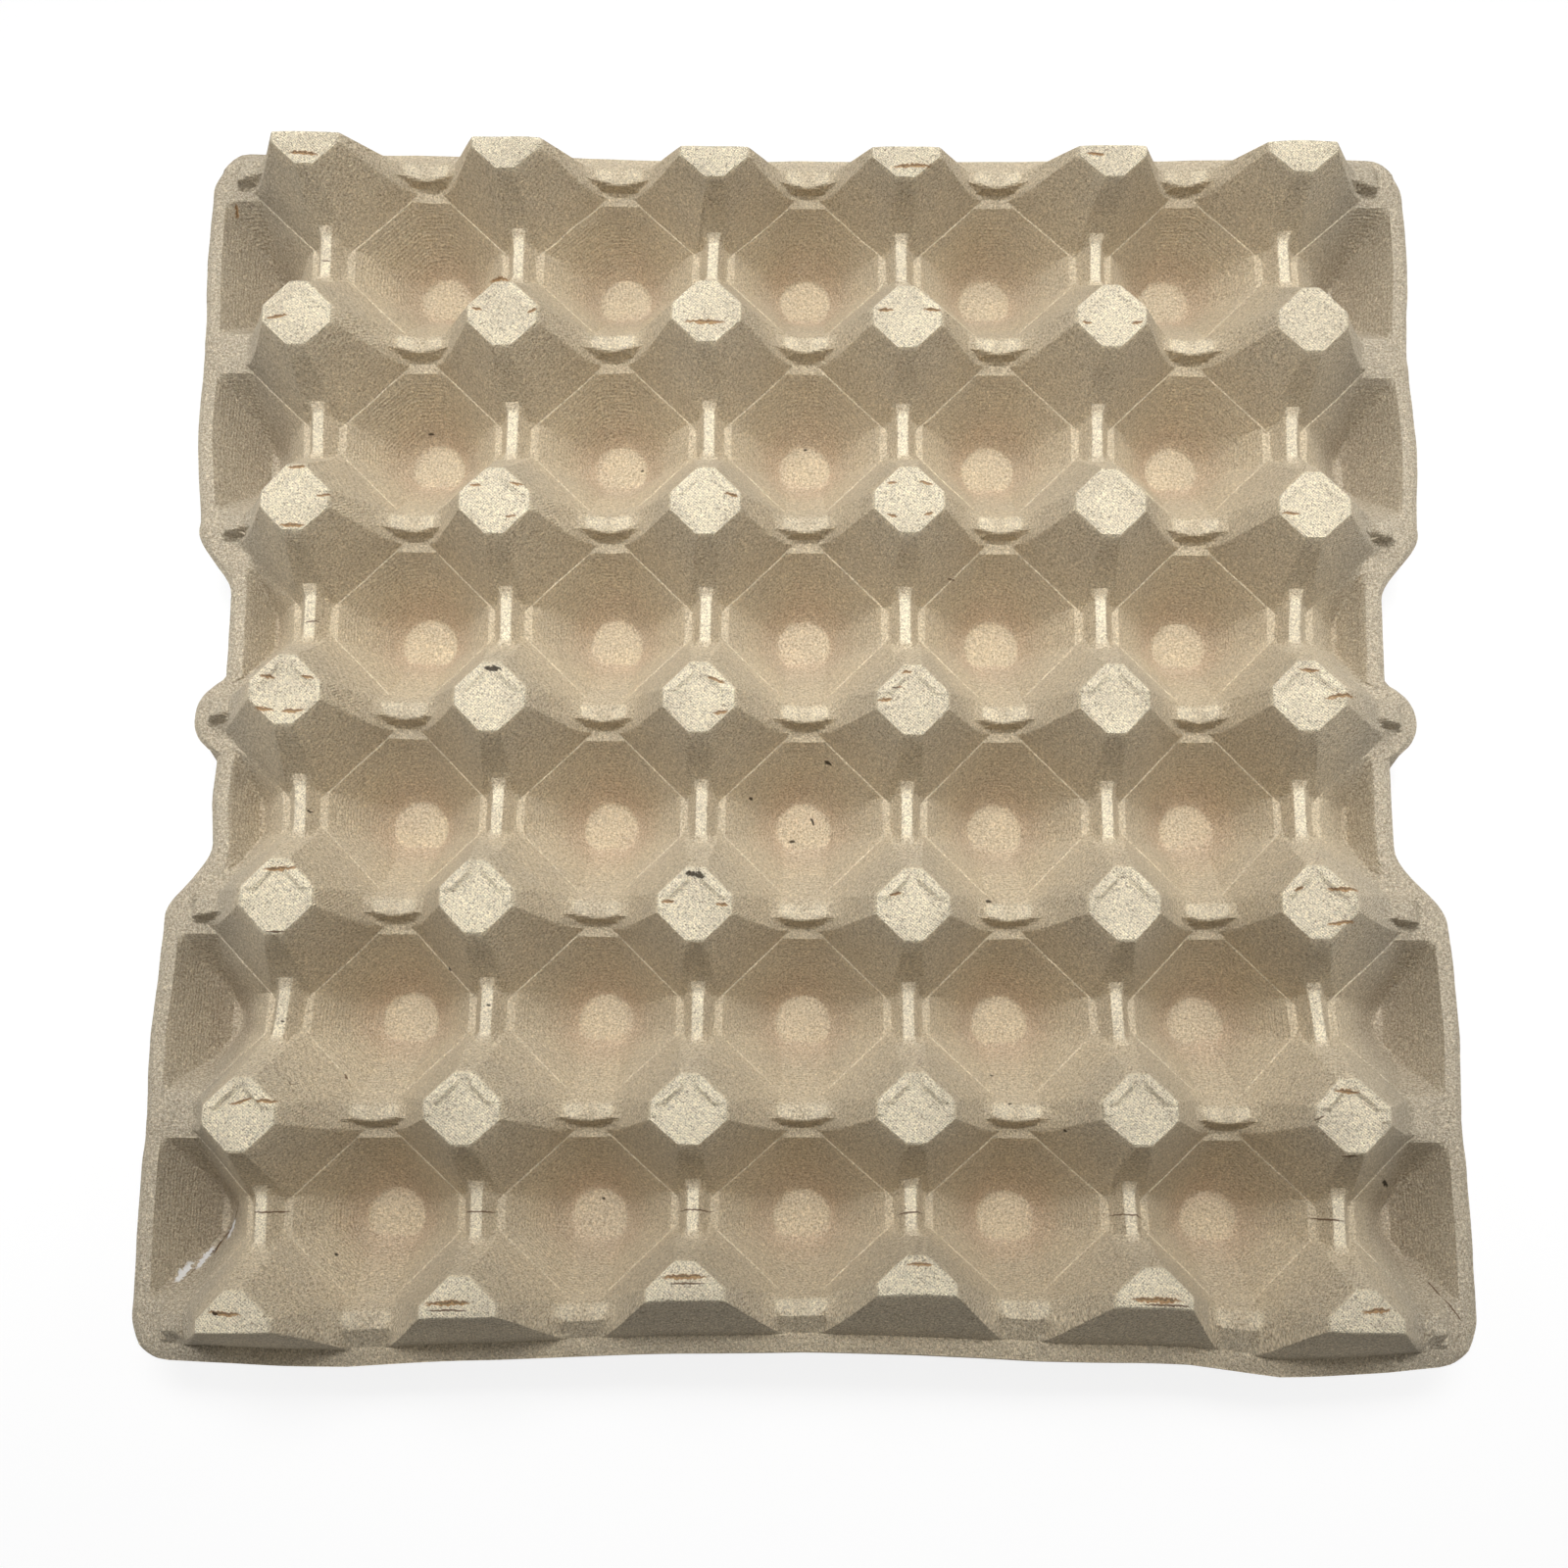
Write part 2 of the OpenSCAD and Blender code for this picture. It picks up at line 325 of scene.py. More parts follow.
cell_p, cell_q = quarter_cell()
print(f"a quarter cell has {cell_p.shape[0]} lines each way")

# %% [markdown]
# ## The grid over the whole tray
# The quarter cell is mirrored from cell to cell. Past the outer posts come a few more lines: at the sides as
# far as the rim, stretched to end on the side edge, and at the ends down the cut faces of the half posts,
# whose crease lies further out the nearer it comes to the ledges.

# %% The whole grid
def grid_steps(cells, beyond):
    """For each grid line across `cells` cells: its post line, its side of that line, and its step in the
    quarter cell or past it."""
    last = BAND + STEPS
    steps = np.concatenate([np.r_[0:last], np.r_[last:0:-1]])
    k = np.repeat(np.arange(cells), 2 * last)
    second = np.tile(np.arange(2 * last) > last, cells)
    return (np.concatenate([np.zeros(beyond), k + second, [cells], np.full(beyond, cells)]),
            np.concatenate([np.full(beyond, -1), np.where(second, -1, 1), np.ones(beyond + 1)]),
            np.concatenate([np.arange(beyond, 0, -1), np.tile(steps, cells), [0], np.arange(1, beyond + 1)]))


PAST_CUP = np.array([25.2, 26.4, 27.3, 28.0, 28.5, 29.4, 30.4, 31.2, 31.7, 32.0])
PAST_FACE = np.array([3.5, 4.3, 5.2, 5.8, 6.2, 6.5])
TO_CREASE, TO_FOOT = np.array([0, 0.35, 0.8, 1]), np.array([1 / 3, 2 / 3, 1])
CREASE_IN, CREASE_LEAST, CREASE_MOST = 0.216, 0.5, 2.8
END_LINES = len(TO_CREASE) - 1 + len(TO_FOOT) + len(PAST_FACE)
x_post, x_side, x_step = grid_steps(COLUMNS, BAND + STEPS + len(PAST_CUP))
y_post, y_side, y_step = grid_steps(ROWS, END_LINES)
number = np.arange(len(y_step))
at_end = (number < END_LINES) | (number >= len(y_step) - END_LINES)
inner = np.minimum(x_step, BAND + STEPS)
inner_y = np.where(at_end, 0, y_step)
p_grid, q_grid = cell_p[inner_y[:, None], inner[None, :]], cell_q[inner_y[:, None], inner[None, :]]
past_cup = np.concatenate([[0], PAST_CUP - PITCH / 2])[np.maximum(x_step - BAND - STEPS, 0)]
crease = np.clip(END_FACE - CREASE_IN * (TIP_FOOT - cell_p[0, inner]), CREASE_LEAST, CREASE_MOST)
end_rows = np.concatenate([np.outer(TO_CREASE, crease),
                           crease + np.outer(TO_FOOT, END_FACE - crease),
                           PAST_FACE[:, None] + 0 * crease])[np.where(at_end, y_step, 0)]
plan_x = PITCH * (x_post - COLUMNS / 2) + x_side * (p_grid + past_cup)
rest_y = PITCH * (y_post - ROWS / 2)[:, None] + y_side[:, None] * (q_grid * ~at_end[:, None] + end_rows)
edge = side_edge(rest_y)
wall_line = SIDE_X - RIM
to_wall = HOLD_X + (np.abs(plan_x) - HOLD_X) * (edge - RIM - HOLD_X) / (wall_line - HOLD_X)
stretched = np.where(np.abs(plan_x) < wall_line, to_wall, edge - RIM + (np.abs(plan_x) - wall_line))
rest_x = np.where(np.abs(plan_x) > HOLD_X, np.sign(plan_x) * stretched, plan_x)
slanted = (x_side[None, 1:] * y_side[1:, None]) > 0
print(f"grid of {plan_x.shape[1]} by {plan_x.shape[0]} lines")

# %% [markdown]
# ## The rim's edge and the mould's unevenness
# The press leaves the rim turned down a little at its outer edge, and no face is quite flat. The unevenness
# is a sum of slow waves with fixed directions, so it is the same each time the script runs.

# %% Upper and under face
def waves(x, y, longest, shortest, count, seed):
    """A slow unevenness of about unit size: a sum of sine waves in directions fixed by the seed."""
    rng = np.random.default_rng(seed)
    lengths = np.exp(rng.uniform(np.log(shortest), np.log(longest), count))
    turns, phases = rng.uniform(0, 2 * np.pi, (2, count))
    total = np.zeros(x.shape)
    for length, turn, phase in zip(lengths, turns, phases):
        total += np.sin(2 * np.pi * (x * np.cos(turn) + y * np.sin(turn)) / length + phase)
    return total / np.sqrt(count / 2)


TURN_WIDTH, TURN_SIDE, TURN_END = 1.8, 1.2, 0.7
UNEVEN, THINNEST = 0.16, 0.8
inset = np.minimum(edge - np.abs(rest_x), END_Y - np.abs(rest_y))
turn_down = np.where(np.abs(rest_y) > OUTER_Y + END_FACE, TURN_END, TURN_SIDE)
turn_down = turn_down * (1 - smooth(0, TURN_WIDTH, inset)) ** 1.5
uneven = UNEVEN * waves(rest_x, rest_y, longest=60, shortest=9, count=40, seed=5)
upper = tray_height(rest_x, rest_y, 0.0) - turn_down + uneven
under = tray_height(rest_x, rest_y, WALL) - turn_down + uneven
under = np.maximum(np.minimum(under, upper - THINNEST), 0)
print(f"upper face from {upper.min():.2f} to {upper.max():.2f} mm, under face from {under.min():.2f} mm")

# %% [markdown]
# ## How this tray is bent
# Damp pulp dries out of true. Here the front edge is bowed up and in, the posts lean by a few millimetres,
# and the rim is drawn out unevenly. The tables hold each post top's lean, row by row from the front, and how
# far the rim stands out at a few places. They were measured on the photo with the fitted camera and rounded
# to half a millimetre. Everything else follows the posts about it, the more so the higher it lies.

# %% The lean of the posts
LEAN_X = np.array([[-1.0, -1.0, -1.0, 0.0, 2.5, -1.0], [-3.5, -2.5, -1.0, 0.5, 1.5, -0.5],
                   [1.5, -2.0, -0.5, 0.5, 0.0, -5.0], [0.0, -0.5, -0.5, 1.0, -0.5, -4.5],
                   [-1.0, -1.5, 0.5, 0.5, 0.0, 0.0], [-3.5, -1.5, 0.0, 0.5, 2.0, 2.5],
                   [-4.5, -2.5, 1.5, 0.5, 4.0, 2.5]])
LEAN_Y = np.array([[1.0, 4.5, 8.5, 10.0, 7.5, 2.5], [-1.0, 0.5, 0.5, 1.0, 1.0, 0.0],
                   [0.5, 0.5, -1.0, -1.0, -0.5, 0.0], [0.5, -1.0, -1.0, -1.5, -1.0, 0.0],
                   [-0.5, -1.0, -1.0, -0.5, -1.0, -1.5], [-1.0, -1.0, 0.0, -1.5, -1.0, -2.0],
                   [-0.5, -2.0, -4.5, -4.5, -4.0, -2.5]])


def between_posts(table, x, y):
    """Value of a table over the posts at (x, y), eased from each post to the next."""
    i = np.clip(x / PITCH + COLUMNS / 2, 0, COLUMNS - 1e-6)
    j = np.clip(y / PITCH + ROWS / 2, 0, ROWS - 1e-6)
    a, b = i.astype(int), j.astype(int)
    f, g = smooth(0, 1, i - a), smooth(0, 1, j - b)
    low = table[b, a] * (1 - f) + table[b, a + 1] * f
    high = table[b + 1, a] * (1 - f) + table[b + 1, a + 1] * f
    return low * (1 - g) + high * g


print(f"posts lean up to {np.hypot(LEAN_X, LEAN_Y).max():.1f} mm")

# %% [markdown]
# ## The rim and the bowed front
# The rim is drawn out from the outer posts outwards, and at the front together with the foot of the cut
# faces. The bow of the front edge is a lift that fades to both sides and towards the second row.

# %% The bend
RIM_Y = [-149, -120, -95, -76, -60, -40, -21, 0, 21, 38, 50, 70, 95, 120, 149]
LEFT_OUT = [-2.0, -2.0, -2.0, 0.0, 0.5, 0.5, 2.0, 0.5, 0.5, 0.5, -1.5, 0.5, 0.0, 1.0, 0.5]
RIGHT_OUT = [-1.0, -0.5, -0.5, 2.0, 3.0, 2.0, 2.0, 2.5, 2.0, 1.5, 0.5, 1.5, 0.0, 2.0, 2.0]
RIM_X = [-150, -100, -60, 0, 50, 85, 105, 130, 150]
FRONT_OUT = [1.0, 3.0, 2.0, 1.5, 3.0, 3.0, 4.5, 3.0, 1.0]
BACK_OUT = 2.0
SIDE_DRAWN, FRONT_DRAWN, BACK_DRAWN = (118, 140), (142.6, 146), (144, 149)
FRONT_ROWS, LIFTED = (-60, -125), (-112, -149)
BOW_LIFT, BOW_MIDDLE, BOW_WIDTH = 5.0, 8.0, 62.0
LEAN_POWER, FRONT_SPREAD, FRONT_IN = 1.2, 0.010, 1.6


def rim_out(x, y):
    """How far the rim at (x, y) is drawn out sideways and lengthways."""
    right = smooth(*SIDE_DRAWN, x) * np.interp(y, RIM_Y, RIGHT_OUT)
    left = smooth(*SIDE_DRAWN, -x) * np.interp(y, RIM_Y, LEFT_OUT)
    front = smooth(*FRONT_DRAWN, -y) * np.interp(x, RIM_X, FRONT_OUT)
    return right - left, BACK_OUT * smooth(*BACK_DRAWN, y) - front


def bend(x, y, z):
    """Places of the rest points (x, y, z) on the bent tray, in millimetres."""
    side, end = rim_out(x, y)
    share = (np.clip(z, 0, None) / TOP) ** LEAN_POWER
    front = smooth(*FRONT_ROWS, y)
    lift = smooth(*LIFTED, y) * BOW_LIFT * np.exp(-((x - BOW_MIDDLE) / BOW_WIDTH) ** 2)
    return np.stack([x + share * between_posts(LEAN_X, x, y) + FRONT_SPREAD * x * front + side,
                     y + share * between_posts(LEAN_Y, x, y) + FRONT_IN * front + end,
                     z + lift], axis=-1)


top_points = bend(rest_x, rest_y, upper)
low_points = bend(rest_x, rest_y, under)[::2, ::2]
print("bent tray from", top_points.min((0, 1)).round(1), "to", top_points.max((0, 1)).round(1))

# %% [markdown]
# ## Wear
# The tray is used: its post tops are split by short brown slits, hairline cracks cross the ribs of the front
# row, and one pocket is torn through. Each mark belongs to the nearest post, counted from the front left, and
# has a kind, a place from that post's middle, a length and a direction in degrees. The marks were picked on
# the photo, placed with the fitted camera, and rounded to half a millimetre and five degrees.
# Every point of the mesh stores where it lies in the frame of the nearest mark: 1 at the mark's end or side.
# That place changes evenly across a triangle, so the material can draw a mark much finer than the mesh. Marks
# that lie close together are spread over three layers.

# %% Marks
CRACK, SLIT, SPOT, HOLE = 0, 1, 2, 3
HALF_WIDTH = {CRACK: (0.2, 0.005), SLIT: (0.35, 0.03), SPOT: (0.25, 0.12), HOLE: (0.9, 0.0)}
LAYERS = ["marks_under", "marks", "marks_over"]
MARKS = {
    (0, 0): [(CRACK, -17.5, 18.5, 22.5, 60), (HOLE, -23.5, 11, 3.5, 75), (HOLE, -15.5, 20.5, 4, 75),
             (SLIT, -1.5, 3.5, 7.5, -5), (SPOT, -3.5, 3.5, 1, -10), (HOLE, -20.5, 14, 4, 70),
             (SPOT, 13.5, 15, 0.5, -45)],
    (1, 0): [(SLIT, -2, 2.5, 10, 0), (CRACK, -2, 1, 9.5, 0)],
    (2, 0): [(CRACK, 0.5, 23.5, 8, 0), (SLIT, 0, 4.5, 10, 0), (CRACK, 0.5, 3, 8.5, 0)],
    (3, 0): [(CRACK, 0, 22.5, 6.5, 5), (SLIT, 0.5, 6, 5.5, 0)],
    (4, 0): [(CRACK, 0, 23, 8, -5), (SLIT, 0, 1, 11.5, 0), (CRACK, 2, 0, 11, 0)],
    (5, 0): [(CRACK, 24, 8.5, 4, -70), (SLIT, 2, 4, 6, 5), (CRACK, 26.5, 4, 6.5, -55)],
    (0, 1): [(CRACK, 1, -22.5, 9, 0), (CRACK, 15, 9, 1.5, -55), (SLIT, 0.5, 3, 5, 15),
             (SPOT, 0.5, 21.5, 0.5, -20), (SLIT, 6, 3, 4, -5)],
    (1, 1): [(CRACK, 0, -23.5, 7.5, 0)],
    (2, 1): [(SPOT, -23, -19.5, 0.5, -20)],
    (3, 1): [(SPOT, 22.5, 2.5, 0.5, 0), (SPOT, 20, 10, 0.5, -30)],
    (4, 1): [(SPOT, -14, -4, 0.5, -45)],
    (5, 1): [(CRACK, -2, -23.5, 7, -5), (CRACK, -1, -9, 3.5, 0), (SLIT, -1, 5.5, 5.5, -5),
             (SPOT, 16, -15, 2.5, -20), (CRACK, -7.5, -0.5, 2.5, 25)],
    (0, 2): [(CRACK, 0.5, -8, 4.5, 0), (SLIT, 0.5, 6, 7.5, 5), (SPOT, 2, 23, 0.5, 10)],
    (1, 2): [(SPOT, -10.5, -13.5, 0.5, -40), (SPOT, 0.5, -22.5, 0.5, -25)],
    (2, 2): [(SLIT, 6, 0, 2.5, -10), (SPOT, 0, 6.5, 4, -10), (SLIT, -6, 0.5, 2.5, 5), (SPOT, 21, 21, 1, 5)],
    (3, 2): [(SLIT, -4, 2.5, 2.5, 15), (SPOT, 19, 3, 1, -15)],
    (5, 2): [(SLIT, -4, 3, 2, 15), (SLIT, 5.5, 3, 6.5, 0), (SLIT, 4.5, -4.5, 5.5, 10)],
    (0, 3): [(CRACK, -26, 21, 12.5, 0), (CRACK, 0.5, 22, 3.5, 10), (SLIT, -4, 3, 3, -10),
             (SLIT, 2, -5, 5, 5), (SLIT, 5, 3, 3, -5), (SLIT, -4.5, -4.5, 4.5, -10)],
    (1, 3): [(SPOT, 0.5, 6.5, 3.5, -5)],
    (2, 3): [(SLIT, 4, 4, 4, -20), (SPOT, 11, -18, 0.5, 0), (SLIT, 5, -3.5, 3, 10)],
    (3, 3): [(SLIT, -6.5, 0, 3, 5), (SPOT, -21.5, -21.5, 1.5, -70), (SPOT, -18, -9.5, 1.5, -35),
             (SLIT, -1.5, 6.5, 2, 10)],
    (5, 3): [(SLIT, 0.5, 6, 4.5, -5), (SLIT, 7, 0, 6.5, 10)],
    (0, 4): [(SLIT, 0, -7, 6, 0), (SLIT, 0.5, 7.5, 4, 5), (SLIT, 7, 0.5, 3, 10)],
    (1, 4): [(SLIT, -4.5, 3.5, 2.5, 0), (SLIT, 5, 4, 3, -10), (SLIT, 4, -4, 2, 10)],
    (2, 4): [(SLIT, 6, 1.5, 3, -15)],
    (3, 4): [(CRACK, 12, -12, 2, 5), (SLIT, -4, -4, 2, -20), (SLIT, 4, 4, 3, -10), (SLIT, -4, 4, 2, 0),
             (SLIT, 4.5, -3.5, 2, 15)],
    (5, 4): [(SLIT, -5.5, -2, 4, -5)],
    (0, 5): [(CRACK, 0, 22.5, 2.5, 0), (SLIT, -4.5, -1, 5, 10), (SPOT, 22, -15, 1, 5)],
    (1, 5): [(SLIT, -6.5, 22, 9, -35), (SLIT, -6, 1, 2, -5), (SLIT, 7, 0.5, 2, 20)],
    (2, 5): [(SLIT, -0.5, -3, 10, 0), (SPOT, -18.5, -23.5, 0.5, 0)],
    (3, 5): [(SLIT, -5, 1.5, 3.5, 5), (SLIT, 6, 1.5, 4, -5), (SPOT, -23.5, -17.5, 0.5, 0)],
    (4, 5): [(SLIT, -6, -2, 2, -5), (SLIT, 6, -2, 2.5, 15)],
    (0, 6): [(SLIT, -26, -7, 2.5, 75), (SLIT, 0, -5.5, 7, -5)],
    (3, 6): [(SLIT, 1.5, -5, 10, 5)],
    (4, 6): [(SLIT, -4.5, -2, 4, -5)],
}


def mark_frames(layer, x, y):
    """For each point: its place along and across the nearest mark of one layer, and that mark's kind plus
    1, or 0 from half-way to the next mark on."""
    best, second = np.full(x.shape, 1e6), np.full(x.shape, 1e6)
    frames = np.zeros(x.shape + (3,))
    for (i, j), marks in MARKS.items():
        for kind, side, ahead, length, turn in marks[layer::len(LAYERS)]:
            half = HALF_WIDTH[kind][0] + HALF_WIDTH[kind][1] * length
            reach = length / 2 + half
            way = np.cos(np.radians(turn)), np.sin(np.radians(turn))
            dx, dy = x - PITCH * (i - COLUMNS / 2) - side, y - PITCH * (j - ROWS / 2) - ahead
            along, across = dx * way[0] + dy * way[1], dy * way[0] - dx * way[1]
            gap = np.hypot(np.maximum(np.abs(along) - reach, 0), across)
            nearer = gap < best
            second = np.where(nearer, best, np.minimum(second, gap))
            best = np.where(nearer, gap, best)
            place = np.stack([along / reach, across / half, np.full(x.shape, kind + 1.0)], -1)
            frames[nearer] = place[nearer]
    frames[..., 2] *= best < 0.5 * second
    return frames


mark_layers = {name: mark_frames(layer, rest_x, rest_y) for layer, name in enumerate(LAYERS)}
print(sum(len(marks) for marks in MARKS.values()), "marks in", len(LAYERS), "layers")

# %% [markdown]
# ## One closed mesh
# The upper face keeps every grid line, the under face every other one. A strip round the rim joins them, with
# one five-sided face for each step of the coarser grid. Edges that bend by more than CRISP degrees are shaded
# sharp.

# %% The mesh
def ring_of(index):
    """The border of a grid of vertex numbers, counter-clockwise from its first corner."""
    return np.concatenate([index[0, :-1], index[:-1, -1], index[-1, :0:-1], index[:0:-1, 0]])


def triangles(index, slanted):
    """Two triangles for each square of a grid of vertex numbers, facing up, split along the way the edges
    run."""
    a, b, c, d = index[:-1, :-1], index[:-1, 1:], index[1:, 1:], index[1:, :-1]
    one = np.where(slanted, [a, b, d], [a, b, c])
    two = np.where(slanted, [b, c, d], [a, c, d])
    return np.concatenate([one.reshape(3, -1), two.reshape(3, -1)], 1).T


CRISP = 24
top_count, low_count = top_points[..., 0].size, low_points[..., 0].size
top_index = np.arange(top_count).reshape(top_points.shape[:2])
low_index = top_count + np.arange(low_count).reshape(low_points.shape[:2])
top_ring, low_ring = ring_of(top_index), ring_of(low_index)
strip = np.stack([np.roll(top_ring[0::2], -1), top_ring[1::2], top_ring[0::2],
                  low_ring, np.roll(low_ring, -1)], -1)
faces = triangles(top_index, slanted).tolist() + strip.tolist()
faces += triangles(low_index, slanted[::2, ::2])[:, ::-1].tolist()
points = np.concatenate([top_points.reshape(-1, 3), low_points.reshape(-1, 3)]) / 1000
mesh = bpy.data.meshes.new("pulp_tray")
mesh.from_pydata(points.tolist(), [], faces)
mesh.shade_smooth()
mesh.set_sharp_from_angle(angle=np.radians(CRISP))
tray = bpy.data.objects.new("pulp_tray", mesh)
bpy.context.scene.collection.objects.link(tray)
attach(tray, "root")
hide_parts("tray")
triangle_count = sum(len(face) - 2 for face in faces)
print(len(points), "points,", triangle_count, "triangles, mesh valid:", not mesh.validate())

# %% [markdown]
# ## What the material needs to know
# The pulp's pattern was pressed in before the tray bent, so every point keeps its place at rest, in
# millimetres. It also keeps its place in the frames of the nearest marks, and how flat the face lies: 1 where
# it is level, towards 0 where it is steep.

# %% The attributes
def store(name, kind, field, upper_values, under_values):
    """Adds one value for each point to the mesh, those of the upper face first."""
    values = np.concatenate([upper_values.ravel(), under_values.ravel()]).astype(np.float32)
    mesh.attributes.new(name, kind, "POINT").data.foreach_set(field, values)


store("rest", "FLOAT_VECTOR", "vector", np.stack([rest_x, rest_y, upper], -1),
      np.stack([rest_x, rest_y, under], -1)[::2, ::2])
for name, frames in mark_layers.items():
    store(name, "FLOAT_VECTOR", "vector", frames, np.zeros((low_count, 3)))
STEP = 0.3
steep = np.hypot(tray_height(rest_x + STEP, rest_y, 0) - tray_height(rest_x - STEP, rest_y, 0),
                 tray_height(rest_x, rest_y + STEP, 0) - tray_height(rest_x, rest_y - STEP, 0)) / (2 * STEP)
store("flat", "FLOAT", "value", 1 / np.hypot(1, steep), np.zeros(low_count))
print("attributes:", ["rest", "flat"] + LAYERS)

# %% [markdown]
# ## Shader maths as Python
# A material's formula is easier to read as arithmetic than as a list of nodes. `Shade` stands for one socket:
# each operator adds the Math node that does it and hands back a new `Shade`.

# %% A socket that can be reckoned with
class Shade:
    """A shader socket that Python's operators work on."""

    def __init__(self, tree, socket=None):
        self.tree, self.socket = tree, socket

    def node(self, kind, settings=None, inputs=None, output=0):
        """Adds any node: its type, its settings, and a value or a Shade for each named or numbered input."""
        made = self.tree.nodes.new("ShaderNode" + kind)
        for name, value in (settings or {}).items():
            setattr(made, name, value)
        for name, value in (inputs or {}).items():
            if isinstance(value, Shade):
                self.tree.links.new(value.socket, made.inputs[name])
            else:
                made.inputs[name].default_value = value
        return Shade(self.tree, made.outputs[output])

    def math(self, operation, *others):
        """Adds a Math node that works on this and the others in turn."""
        return self.node("Math", {"operation": operation}, dict(enumerate((self,) + others)))

    def __add__(self, other):
        return self.math("ADD", other)

    def __sub__(self, other):
        return self.math("SUBTRACT", other)

    def __mul__(self, other):
        return self.math("MULTIPLY", other)

    def __truediv__(self, other):
        return self.math("DIVIDE", other)

    def __pow__(self, other):
        return self.math("POWER", other)

    def __neg__(self):
        return self.math("MULTIPLY", -1.0)

    def __abs__(self):
        return self.math("ABSOLUTE")

    def __rsub__(self, other):
        return -self + other

    def __rtruediv__(self, other):
        return self ** -1.0 * other

    __radd__, __rmul__ = __add__, __mul__

    def ramp(self, low, high):
        """0 at `low`, 1 at `high`, smooth between; `low` may be the larger."""
        return self.node("MapRange", {"interpolation_type": "SMOOTHSTEP"},
                         {"Value": self, "From Min": low, "From Max": high})

    def mix(self, one, other):
        """Colour `one` where this is 0, `other` where it is 1."""
        return self.node("Mix", {"data_type": "RGBA"}, {0: self, 6: one, 7: other}, output=2)

    def noise(self, scale, detail=2.0, roughness=0.5):
        """Noise about 0.5, with this vector in millimetres and `scale` blobs to the millimetre."""
        return self.node("TexNoise", None, {"Vector": self, "Scale": scale, "Detail": detail,
                                            "Roughness": roughness})

    def attribute(self, name, output):
        """One of the values stored on the mesh."""
        return self.node("Attribute", {"attribute_name": name}, None, output)

    def parts(self):
        """The three parts of a vector."""
        return [self.node("SeparateXYZ", None, {0: self}, axis) for axis in "XYZ"]


print("shader arithmetic ready")

# %% [markdown]
# ## The pulp's patterns
# Recycled pulp is full of fibres and flecks of every shade, so the pattern is several noises of different
# sizes. The wire mesh of the mould prints a fine weave on the posts, written as a product of two sine waves,
# and level rings on the cups' walls, written as a sine of the height.

# %% Patterns over the tray
material = bpy.data.materials.new("pulp")
material.use_nodes = True
tree = material.node_tree
shader = tree.nodes["Principled BSDF"]
make = Shade(tree)
spot = make.attribute("rest", "Vector")
x, y, z = spot.parts()
cloud = spot.noise(0.06, 3, 0.6)
fleck = spot.noise(0.8, 2, 0.6)
grain = spot.noise(1.5, 3, 0.75)
grit = spot.noise(2.1, 2, 0.8)
speck = spot.noise(3.4, 2, 0.7)
weave = (x * 8.3 + y * 0.9 + z * 3.5).math("SINE") * (y * 8.3 - x * 0.9 + z * 4.0).math("SINE")
rings = (z * 7.0 + cloud * 3.0).math("SINE") * z.ramp(3, 6) * z.ramp(21.2, 20)
upper_part = z.ramp(22, 40)
flat_part = make.attribute("flat", "Fac").ramp(0.75, 0.97)
print(len(tree.nodes), "nodes for the patterns")

# %% [markdown]
# ## The pulp's colour
# The pulp is beige and greyer towards the sides. The level tops of posts and ribs are paler: partly pulp
# rubbed pale, partly painted light where those tops face the lamp. A darker, pinker tint low in the cups is
# painted shade. Each layer of colour covers the one before it by a mask: first the broad tones, then fibres,
# weave, flecks and wire lines, and last an even grit that scales the colour.

# %% Colour
BEIGE, PALE, LOW_CUP_SHADE = (0.65, 0.54, 0.375, 1), (0.94, 0.84, 0.63, 1), (0.58, 0.425, 0.31, 1)
GREY, OUTER_GREY = (0.54, 0.465, 0.35, 1), (0.43, 0.375, 0.29, 1)
FIBRE, WOVEN, DARK_FLECK = (0.24, 0.18, 0.11, 1), (0.38, 0.30, 0.19, 1), (0.16, 0.12, 0.08, 1)
WIRE, DARK_SPECK, PALE_SPECK = (0.27, 0.20, 0.13, 1), (0.22, 0.16, 0.10, 1), (0.88, 0.81, 0.66, 1)
# Tops of posts and level tops of ribs: partly pulp rubbed pale, partly a painted highlight where they face
# the lamp.
colour = z.ramp(43.4, 44.6).math("MAXIMUM", flat_part * z.ramp(25.8, 27.2)).mix(BEIGE, PALE)
# Painted shade: a darker, pinker tint on the lower walls of the cups, where shade and warm bounce light
# gather.
colour = (z.ramp(15, 2.4) * z.ramp(1.9, 2.6) * 0.55).mix(colour, LOW_CUP_SHADE)
colour = (cloud.ramp(0.42, 0.62) * 0.35).mix(colour, GREY)
colour = (abs(x).ramp(124, 136) * 0.75).mix(colour, OUTER_GREY)
colour = (grain.ramp(0.46, 0.65) * 0.45).mix(colour, PALE)
colour = (grain.ramp(0.46, 0.30) * (upper_part * 0.35 + 0.5)).mix(colour, FIBRE)
colour = (weave.ramp(0.0, 0.9) * z.ramp(43, 44.5) * grain.ramp(0.65, 0.4) * 0.9).mix(colour, WOVEN)
colour = (fleck.ramp(0.27, 0.20) * 0.7).mix(colour, DARK_FLECK)
hatch = weave.ramp(0.1, 0.8) * z.ramp(20, 26) * z.ramp(44, 42) * 0.4
lines = rings.ramp(0.45, 0.9) * fleck.ramp(0.40, 0.55) * 0.5
colour = (hatch.math("MAXIMUM", lines) * grain.ramp(0.62, 0.45)).mix(colour, WIRE)
colour = (speck.ramp(0.46, 0.36) * 0.6).mix(colour, DARK_SPECK)
colour = (speck.ramp(0.55, 0.67) * 0.6).mix(colour, PALE_SPECK)
colour = colour.node("VectorMath", {"operation": "SCALE"}, {0: colour, "Scale": (grit - 0.5) * 1.5 + 1.0})
print(len(tree.nodes), "nodes with the colour")

